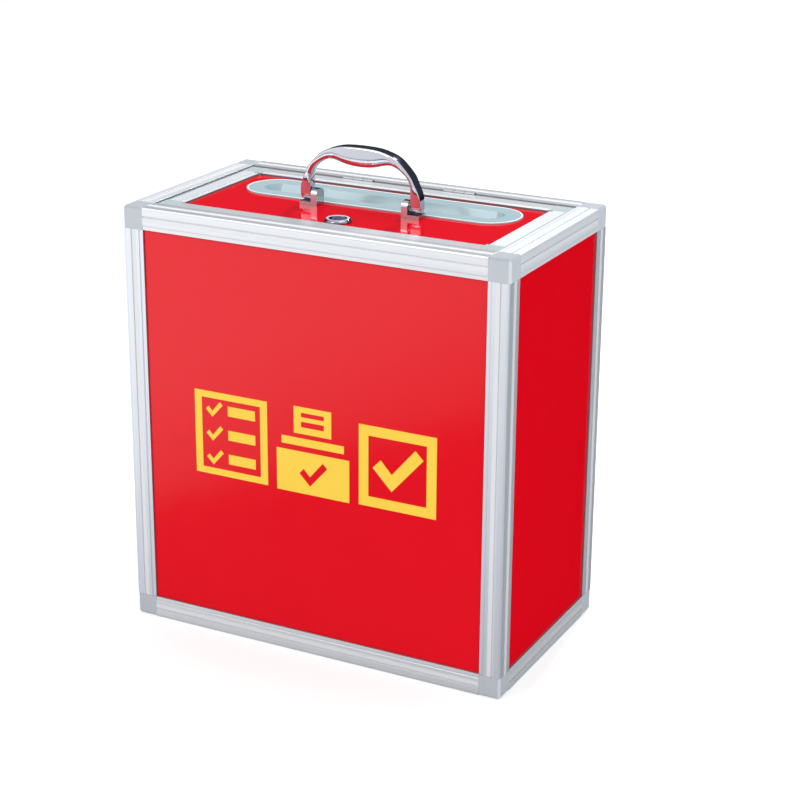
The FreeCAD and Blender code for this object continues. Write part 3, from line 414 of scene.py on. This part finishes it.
chrome = polished("chrome", (0.58, 0.585, 0.64), 0.03, 0.08, scale=900.0, depth=0.000003)
# painted dark reflection: the lock's chrome is much darker than the handle's
lock_chrome = polished("lock_chrome", (0.30, 0.31, 0.38), 0.04, 0.10, scale=1200.0, depth=0.000003)
lock_core = polished("lock_core", (0.19, 0.20, 0.26), 0.10, 0.22, scale=1200.0, depth=0.00001)
plated_steel = polished("plated_steel", (0.60, 0.60, 0.58), 0.20, 0.38, scale=700.0, depth=0.00003)
hinge_steel = polished("hinge_steel", (0.38, 0.39, 0.41), 0.36, 0.52, scale=700.0, depth=0.00003)
print("metals", [metal.name for metal in (chrome, lock_chrome, lock_core, plated_steel, hinge_steel)])

# %% [markdown]
# The flat face of the lock's ring is brushed, so it stays pale from every side,
# while its bevel and wall are polished, in a chrome painted dark as a painted
# dark reflection. The upward slope tells the two apart, and it drives both the
# colour and the gloss. Inside the keyway no light comes back, so everything
# below the core's face is nearly black.

# %% Brush the ring's flat face and blacken the keyway
flat_enough = 0.97
core_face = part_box("lock_cylinder")[1].z - 0.0003


def brush_flat(finish, color, metal, haze):
    tree, shader, polished_color = reopened(finish)
    flat = math_node(tree, "GREATER_THAN", facing_up(tree), flat_enough)
    gloss = shader.inputs["Roughness"].links[0].from_socket
    feed(shader, {"Base Color": mixed(tree, flat, polished_color, (*color, 1)),
                  "Metallic": between(tree, flat, 1.0, metal),
                  "Roughness": math_node(tree, "MAXIMUM", gloss, product(tree, flat, haze))})


def darken_below(finish, height, tone):
    tree, shader, color = reopened(finish)
    above = math_node(tree, "GREATER_THAN", axes_of(tree)["Z"], height)
    feed(shader, {"Base Color": tinted(tree, color, between(tree, above, tone, 1.0))})


brush_flat(lock_chrome, (0.80, 0.81, 0.86), metal=0.3, haze=0.32)
darken_below(lock_core, core_face, tone=0.06)
print("finished", lock_chrome.name, "and", lock_core.name)

# %% [markdown]
# ## Dressing the CAD bodies
# A body's name tells what it is made of. Rails need the grain that runs their
# way: posts stand along Z, front and rear rails lie along X, and side rails
# along Y.

# %% A finish for each body
def finish_for(name):
    if name.startswith("lid_corner"):
        return lid_plastic
    if name.startswith("corner"):
        return block_plastic
    if name.startswith("post"):
        return aluminium_along[2]
    if name.startswith(("rail", "lid_rail")):
        return aluminium_along[0 if name.endswith(("front", "rear")) else 1]
    if name.startswith("panel") or name == "lid_panel":
        return red_coat
    if name == "slot_bezel":
        return bezel_plastic
    if name == "lock_body":
        return lock_chrome
    if name == "lock_cylinder":
        return lock_core
    if name.startswith("hinge"):
        return hinge_steel
    return chrome if name.startswith("handle_bracket") or name == "handle_grip" else plated_steel


for name, body in nodes.items():
    for seat in body.material_slots:
        seat.link = "OBJECT"
        seat.material = finish_for(name)

# %% [markdown]
# ## Soft edges
# No real edge is perfectly sharp. A thin rounding catches a line of light, and
# that line is what tells the eye that a part is solid. The CAD meshes arrive
# with split corners, so a small geometry node group joins them and clears the
# stored normals. Then a bevel rounds each edge that is sharper than 28 degrees.
# Cast brackets and moulded blocks are the softest, rails and sheets the
# sharpest.

# %% A node group that joins split corners
def joining_group():
    group = bpy.data.node_groups.new("join_corners", "GeometryNodeTree")
    for way in ("INPUT", "OUTPUT"):
        group.interface.new_socket("Geometry", in_out=way, socket_type="NodeSocketGeometry")
    start, end = group.nodes.new("NodeGroupInput"), group.nodes.new("NodeGroupOutput")
    merge = group.nodes.new("GeometryNodeMergeByDistance")
    merge.inputs["Distance"].default_value = 0.000001
    clear = group.nodes.new("GeometryNodeSetMeshNormal")
    clear.inputs["Remove Custom"].default_value = True
    for source, target in ((start, merge), (merge, clear), (clear, end)):
        group.links.new(source.outputs[0], target.inputs[0])
    return group


join_corners = joining_group()
print("joining group with", len(join_corners.nodes), "nodes")


# %% How soft each body is, in metres
def soften(body, width, segments):
    body.modifiers.new("join", "NODES").node_group = join_corners
    bevel = body.modifiers.new("round", "BEVEL")
    bevel.limit_method, bevel.angle_limit = "ANGLE", math.radians(28)
    bevel.width, bevel.segments = width, segments
    bevel.harden_normals = True


def softness_for(name):
    if name.startswith("corner"):
        return 0.0004
    if name.startswith(("post", "rail", "lid_rail")):
        return 0.00015
    if name.startswith("handle_bracket") or name == "lock_body":
        return 0.0006
    if name in ("lock_cylinder", "slot_bezel") or name.startswith("lid_corner"):
        return 0.0002
    return 0.00012


for name, body in nodes.items():
    soften(body, softness_for(name), 3 if name.startswith(("corner", "handle", "lock")) else 2)

# %% [markdown]
# ## Meshes from rings
# Handles, beads and rims have one thing in common: a ring of points that moves
# along a path. One helper skins a list of such rings and closes the ends. It
# is quicker to steer than sculpting, and every ring can be measured. Another
# draws a smooth curve through a few measured points.

# %% Skin rings of points
def skin_rings(name, rings, closed_path=False):
    mesh = bpy.data.meshes.new(name)
    shape = bmesh.new()
    made = [[shape.verts.new(point) for point in ring] for ring in rings]
    count = len(made[0])
    pairs = list(zip(made, made[1:])) + ([(made[-1], made[0])] if closed_path else [])
    for near, far in pairs:
        for step in range(count):
            after = (step + 1) % count
            shape.faces.new((near[step], near[after], far[after], far[step]))
    if not closed_path:
        shape.faces.new(made[0][::-1])
        shape.faces.new(made[-1])
    bmesh.ops.recalc_face_normals(shape, faces=shape.faces)
    shape.to_mesh(mesh)
    shape.free()
    mesh.shade_smooth()
    return add_object(name, mesh)


# %% A smooth curve through given points
def curve_through(points, steps):
    line = []
    padded = [points[0]] + list(points) + [points[-1]]
    for a, b, c, d in zip(padded, padded[1:], padded[2:], padded[3:]):
        for step in range(steps):
            t = step / steps
            line.append(tuple(0.5 * (2 * q + (r - p) * t + (2 * p - 5 * q + 4 * r - s) * t * t
                                     + (3 * q - p - 3 * r + s) * t ** 3)
                              for p, q, r, s in zip(a, b, c, d)))
    return line + [tuple(points[-1])]


# %% [markdown]
# ## The handle
# One cast bail in chrome. Seen from the front its legs are thick at the pivots
# and thin at the knees, and the grip swells downwards in the middle to fill the
# palm. Seen from the side the legs get narrower towards the pivots, where they
# end in full rounds. The outline was measured as pairs of points, one outside
# and one inside. A ring with four rounded corners runs through these pairs:
# small rounds outside, broad oval rounds where the fingers go, and never more
# than the ring has room for.

# %% Handle outline, in millimetres from the middle and above the lid panel
foot_outer, foot_inner, pivot_rise = 57.4, 47.6, 10.4
handle_pairs = [((foot_outer, pivot_rise), (foot_inner, pivot_rise)),
                ((57.2, 14.5), (47.6, 16.0)), ((56.4, 18.6), (47.6, 20.6)), ((54.6, 23.4), (47.4, 24.8)),
                ((51.6, 29.2), (46.2, 29.6)), ((48.9, 34.6), (43.4, 34.0)), ((44.9, 39.4), (39.8, 37.2)),
                ((40.4, 43.9), (35.6, 39.8)), ((36.3, 47.5), (31.4, 41.6)), ((31.0, 50.4), (27.2, 42.2)),
                ((24.6, 52.6), (21.6, 41.3)), ((17.6, 54.2), (15.4, 39.6)), ((9.0, 54.95), (8.0, 38.4)),
                ((0.0, 55.15), (0.0, 38.0))]
grip_low, grip_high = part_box("handle_grip")
grip_middle = (grip_low.y + grip_high.y) / 2
grip_depth = (grip_high.y - grip_low.y) / 2 * 1000
print("handle", len(handle_pairs), "pairs,", round(2 * grip_depth, 1), "mm deep")


# %% One ring of the handle: two outer corners and two inner ones
widest, deepest = 0.74, 0.98


def handle_ring(outer, inner, depth, rounds):
    outer, inner, steps = Vector(outer), Vector(inner), 8
    length, along = (outer - inner).length, (outer - inner).normalized()
    outer_round, inner_round = (rounds[0], rounds[0]), rounds[1:]
    corners = [(1, 1, outer_round), (-1, 1, inner_round), (-1, -1, inner_round), (1, -1, outer_round)]
    ring = []
    for index, (side, front, (wide, deep)) in enumerate(corners):
        wide, deep = min(wide, length * widest), min(deep, depth * deepest)
        for step in range(steps + 1):
            angle = math.radians(90 * index + 90 * step / steps)
            across = side * (length / 2 - wide) + wide * math.cos(angle)
            away = front * (depth - deep) + deep * math.sin(angle)
            spot = (outer + inner) / 2 + along * across
            ring.append((spot.x / 1000, grip_middle + away / 1000, panel_top + spot.y / 1000))
    return ring


# %% [markdown]
# Three sets of rounds are enough: at the feet, along the legs and in the grip.
# Each is the outer round, then the inner round's width and depth. Between them
# the rounds change slowly along the bail, and the legs' depth grows with their
# height. Under the pivots the rings close along an arc, the round of the foot.

# %% Skin the handle from one foot over the crown to the other, in millimetres
foot_reach, foot_depth, foot_angles = 6.0, 4.3, (4, 14, 26, 40, 55, 70)
taper_length, leg_start, leg_length = 30.0, 18.0, 20.0
grip_start, grip_share = 0.3125, 0.625
foot_rounds, leg_rounds, grip_rounds = (1.0, 1.4, 1.2), (1.2, 7.2, 5.0), (1.6, 8.8, 3.8)


def share(value, start, length):
    return min(1.0, max(0.0, (value - start) / length))


def handle_rings():
    stations = []
    for angle in foot_angles:
        height = pivot_rise - foot_reach * math.cos(math.radians(angle))
        depth = foot_depth * math.sin(math.radians(angle))
        stations.append(((foot_outer, height), (foot_inner, height), depth, foot_rounds))
    half = curve_through([(*outer, *inner) for outer, inner in handle_pairs], 7)
    for index, (outer_x, outer_z, inner_x, inner_z) in enumerate(half):
        rise = share(outer_z, pivot_rise, taper_length)
        depth = foot_depth + (grip_depth - foot_depth) * rise * (1.5 - 0.5 * rise)
        leg = share(outer_z, leg_start, leg_length)
        grip = share(index / len(half), grip_start, grip_share)
        rounds = tuple(low + (knee - low) * leg + (palm - knee) * grip
                       for low, knee, palm in zip(foot_rounds, leg_rounds, grip_rounds))
        stations.append(((outer_x, outer_z), (inner_x, inner_z), depth, rounds))
    right = [handle_ring(*station) for station in stations]
    left = [[(-x, y, z) for x, y, z in ring] for ring in right[-2::-1]]
    return right + left


bail = skin_rings("handle_bail", handle_rings())
bail.data.materials.append(chrome)
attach(bail, "handle")
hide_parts("handle_grip")
print("handle", len(bail.data.polygons), "faces")

# %% [markdown]
# ## The slot's rim
# The bezel has a thin raised rim that runs round its edge and catches the
# light. A half-round section follows the same stadium outline as the bezel. Its
# plastic is painted paler than the bezel's, as a painted highlight.

# %% Points and outward directions along a stadium
def stadium(half_length, half_width, middle_y):
    reach, steps = half_length - half_width, 28
    line = []
    for side in (1, -1):
        for step in range(steps + 1):
            angle = math.radians(-90 + 180 * step / steps)
            x = side * (reach + half_width * math.cos(angle))
            y = middle_y + side * half_width * math.sin(angle)
            line.append((x, y, (side * math.cos(angle), side * math.sin(angle))))
    return line


bezel_low, bezel_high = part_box("slot_bezel")
print("bezel", [round(side * 1000, 1) for side in bezel_high - bezel_low], "mm")

# %% Rim along the stadium
rim_width, rim_height, rim_inset, rim_sink = 0.0014, 0.0004, 0.0012, 0.0001


def rim(name, outline, foot):
    rings, steps = [], 8
    for x, y, (out_x, out_y) in outline:
        ring = []
        for step in range(steps + 1):
            angle = math.radians(180 * step / steps)
            away, up = rim_width / 2 * math.cos(angle), rim_height * math.sin(angle)
            ring.append((x + out_x * away, y + out_y * away, foot + up))
        rings.append(ring)
    return skin_rings(name, rings, closed_path=True)


rim_outline = stadium(bezel_high.x - rim_inset, (bezel_high.y - bezel_low.y) / 2 - rim_inset,
                      (bezel_low.y + bezel_high.y) / 2)
bezel_rim = rim("bezel_rim", rim_outline, bezel_high.z - rim_sink)
# painted highlight: the rim's plastic is paler than the bezel's
rim_highlight_plastic = moulded("rim_highlight_plastic", (0.68, 0.76, 0.78), (0.76, 0.84, 0.86), gloss=0.24)
bezel_rim.data.materials.append(rim_highlight_plastic)
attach(bezel_rim, "lid")
print("rim", len(bezel_rim.data.polygons), "faces")

# %% [markdown]
# ## The sign
# Big yellow shapes on the front say what the box is for. They are cut from
# adhesive film: a sheet with ticks, a paper going into a box, and a ticked
# square. Flat curves with holes are the natural tool, because a curve fills its
# outline and gets its thickness from one number.

# %% Yellow film
film, film_tree, film_shader = new_finish("yellow_film", {"Specular IOR Level": 0.45})
feed(film_shader, {"Base Color": shade(film_tree, noise(film_tree, 30.0),
                                       (0.83, 0.54, 0.038), (0.88, 0.59, 0.050)),
                   "Roughness": between(film_tree, noise(film_tree, 400.0), 0.26, 0.38)})
film_half, film_offset = 0.00006, 0.00007
sign_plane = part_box("panel_front")[0].y - film_offset


def cut_film(name, left, foot, outlines):
    shape = bpy.data.curves.new(name, "CURVE")
    shape.dimensions, shape.fill_mode, shape.extrude = "2D", "BOTH", film_half
    for outline in outlines:
        spline = shape.splines.new("POLY")
        spline.points.add(len(outline) - 1)
        for point, (x, y) in zip(spline.points, outline):
            point.co = (x / 1000, y / 1000, 0, 1)
        spline.use_cyclic_u = True
    piece = add_object(name, shape)
    piece.rotation_euler = (math.radians(90), 0, 0)
    piece.location = (left / 1000, sign_plane, foot / 1000)
    piece.data.materials.append(film)
    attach(piece, "case")
    return piece


print("film", film.name, 2 * film_half * 1000, "mm thick")


# %% Outlines for the pictograms, in millimetres
def bar(x0, y0, x1, y1):
    return [(x0, y0), (x1, y0), (x1, y1), (x0, y1)]


def tick(x, y, size):
    shape = [(0, 0.45), (0.16, 0.62), (0.38, 0.38), (0.84, 0.92), (1.0, 0.76), (0.38, 0.06)]
    return [(x + a * size, y + b * size) for a, b in shape]


# %% Three pictograms
sheet_sign = [bar(0, 0, 72, 76), bar(7, 6, 65, 70)]
for row in (52, 30, 8):
    sheet_sign += [tick(11, row, 17), bar(33, row + 4, 60, row + 13)]
box_sign = [bar(0, 0, 70, 38), tick(22, 6, 27), bar(5, 43, 65, 50),
            bar(17, 54, 53, 78), bar(24, 60, 46, 65), bar(24, 69, 46, 73)]
square_sign = [bar(0, 0, 72, 72), bar(9, 9, 63, 63), tick(13, 14, 47)]
signs = [cut_film("sign_sheet", -114, 150, sheet_sign), cut_film("sign_box", -33, 149, box_sign),
         cut_film("sign_square", 46, 150, square_sign)]
print("signs", [sign.name for sign in signs])

# %% [markdown]
# ## The studio
# A white floor runs out of view. A large soft light stands at the front left,
# one hangs overhead, and a weak bluish one stands at the right. A small one
# behind throws the handle's shadow forwards on the lid. The floor shows from
# above only, so that the underside can be looked at too.

# %% Floor
floor_reach, floor_height = 9, -0.0001
floor_corners = [(x, y, floor_height) for x, y in bar(-floor_reach, -floor_reach, floor_reach, floor_reach)]
floor_mesh = bpy.data.meshes.new("floor")
floor_mesh.from_pydata(floor_corners, [], [(0, 1, 2, 3)])
floor = add_object("floor", floor_mesh)
paper, paper_tree, paper_shader = new_finish("floor_paper", {"Roughness": 0.9, "Emission Color": (1, 1, 1, 1),
                                                             "Emission Strength": 0.43})
feed(paper_shader, {"Base Color": shade(paper_tree, noise(paper_tree, 1.5, 2.0),
                                        (0.61, 0.61, 0.61), (0.63, 0.63, 0.63))})
one_sided = add_node(paper_tree, "MixShader", {0: add_node(paper_tree, "NewGeometry").outputs["Backfacing"],
                                               1: paper_shader.outputs["BSDF"],
                                               2: add_node(paper_tree, "BsdfTransparent").outputs["BSDF"]})
feed(paper_tree.nodes["Material Output"], {"Surface": one_sided.outputs["Shader"]})
floor_mesh.materials.append(paper)
floor.visible_glossy = False
print("floor", 2 * floor_reach, "m wide")


# %% Lights
def soft_light(name, place, aim, width, height, power, color=(1, 1, 1)):
    lamp = bpy.data.lights.new(name, "AREA")
    lamp.shape, lamp.size, lamp.size_y = "RECTANGLE", width, height
    lamp.energy, lamp.color = power, color
    holder = add_object(name, lamp)
    holder.location = place
    holder.rotation_euler = (Vector(place) - Vector(aim)).to_track_quat("Z", "Y").to_euler()
    return holder


box_middle, lid_middle = (0, 0, 0.2), (0, 0, 0.38)
lights = [soft_light("key_light", (-0.75, -1.6, 1.9), box_middle, 0.9, 0.9, power=13),
          soft_light("top_light", (0.1, 0.3, 2.2), box_middle, 1.6, 1.2, power=9),
          soft_light("right_light", (1.9, 0.2, 1.0), box_middle, 0.9, 1.2, power=5, color=(0.75, 0.90, 1.0)),
          soft_light("rear_light", (0.0, 1.55, 1.60), lid_middle, 0.16, 0.12, power=21)]
print("lights", [light.name for light in lights])

# %% [markdown]
# Gloss needs something to mirror, so mirrors see their own sky: a bright card in
# front, a bright ceiling, and a dim bluish dusk everywhere else. The card's
# lower edge leans, and it is crisp with a soft band above it, because that edge
# draws the line where the sheen ends on the front panel. Matt surfaces get an
# even sky instead, and the eye sees white.

# %% Sky: the card, the ceiling and the dusk
sky = bpy.data.worlds.new("sky")
bpy.context.scene.world = sky
sky.use_nodes = True
studio = sky.node_tree
towards = axes_of(studio, "Generated")
card_lean = 0.285


def fade(amount, start, end, low, high):
    sources = {"Value": amount, "From Min": start, "From Max": end, "To Min": low, "To Max": high}
    return add_node(studio, "MapRange", sources, interpolation_type="SMOOTHSTEP").outputs["Result"]


slope = math_node(studio, "SUBTRACT", towards["Z"], product(studio, towards["X"], card_lean))
card_front = fade(towards["Y"], 0.1, -0.3, 0.0, 1.0)
crisp_edge = fade(slope, -0.242, -0.226, 0.28, 1.0)
soft_band = fade(slope, -0.235, -0.165, 0.60, 1.0)
bright_left = fade(towards["X"], -0.58, -0.36, 1.28, 1.0)
card = product(studio, card_front, crisp_edge, soft_band, bright_left)
ceiling = fade(towards["Z"], 0.45, 0.85, 0.0, 1.05)
dusk = fade(towards["Z"], -0.1, 0.2, 0.008, 0.06)
mirrored = math_node(studio, "ADD", math_node(studio, "MAXIMUM", ceiling, card), dusk)
print("sky cards in", len(studio.nodes), "nodes")

# %% Sky: which rays see what
rays = add_node(studio, "LightPath").outputs
even = between(studio, rays["Is Camera Ray"], 0.90, 1.05)
dusky = product(studio, rays["Is Glossy Ray"], fade(mirrored, 0.1, 0.5, 1.0, 0.0))
day_color, dusk_color = (0.985, 0.99, 1.0, 1), (0.80, 0.84, 1.15, 1)
feed(studio.nodes["Background"], {"Strength": between(studio, rays["Is Glossy Ray"], even, mirrored),
                                  "Color": mixed(studio, dusky, day_color, dusk_color)})
bpy.context.scene.view_settings.view_transform = "Standard"
print("sky and lights set")

# %% [markdown]
# ## Bringing the scene up to date
# The view layer is updated once more at the end.

# %% Update the view layer
bpy.context.view_layer.update()
